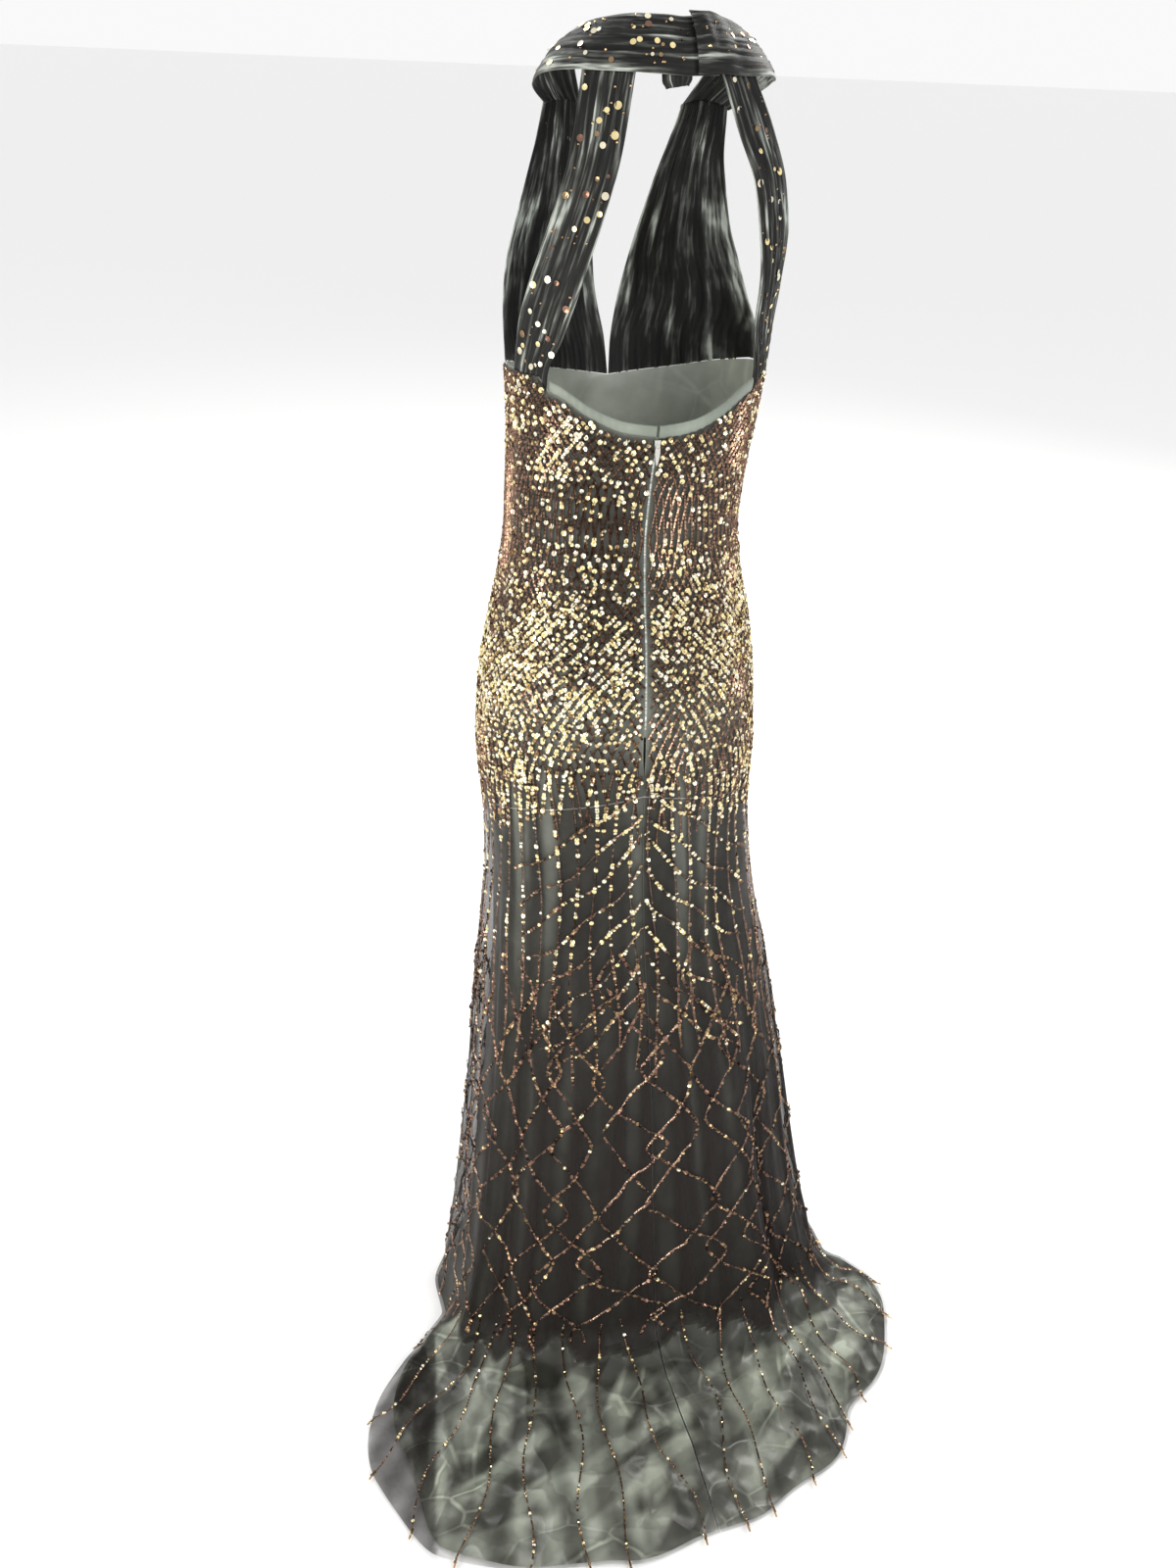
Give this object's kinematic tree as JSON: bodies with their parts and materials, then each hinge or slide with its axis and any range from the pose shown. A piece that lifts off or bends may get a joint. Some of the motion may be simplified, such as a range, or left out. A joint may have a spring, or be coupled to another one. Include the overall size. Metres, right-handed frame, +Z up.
{
  "type": "halter evening gown",
  "caption": "Floor-length halter evening gown with a low open back, two back straps, a back zip and a short train; sequinned net over a silk lining, kept in its worn, hollow form.",
  "frame": {"origin": "middle of the neck opening, at the height where the collar is held on the wearer; the floor is 1.5 m below", "axes": "+Z up along the gown's length, the wearer faces -Y so the low back and the train are on the +Y side, the wearer's left is +X"},
  "size_m": [0.7156, 0.5916, 1.534],
  "materials": {
    "net": "dark net carrying sequins",
    "silk": "grey-green silk with a soft sheen",
    "tape": "plain woven zip tape",
    "metal": "pale metal"
  },
  "bodies": {
    "gown": {"binding_left": "silk", "binding_right": "silk", "bodice_lining_back_left": "silk", "bodice_lining_back_right": "silk", "bodice_lining_front": "silk", "collar_left": "net", "collar_right": "net", "collar_tab": "net", "halter_left": "net", "halter_right": "net", "net_back_left": "net", "net_back_right": "net", "net_front": "net", "skirt_lining_back_left": "silk", "skirt_lining_back_right": "silk", "skirt_lining_front": "silk", "strap_left": "net", "strap_right": "net", "zip_slider": "metal", "zip_tape": "tape"},
    "pull_tab": {"zip_pull": "metal"}
  },
  "joints": [
    {"name": "pull_tab_hinge", "type": "hinge", "parent": "gown", "child": "pull_tab", "pos_m": [0.00147, 0.08725, -0.3095], "axis": [1, 0, 0], "range_deg": [0, 170]}
  ]
}
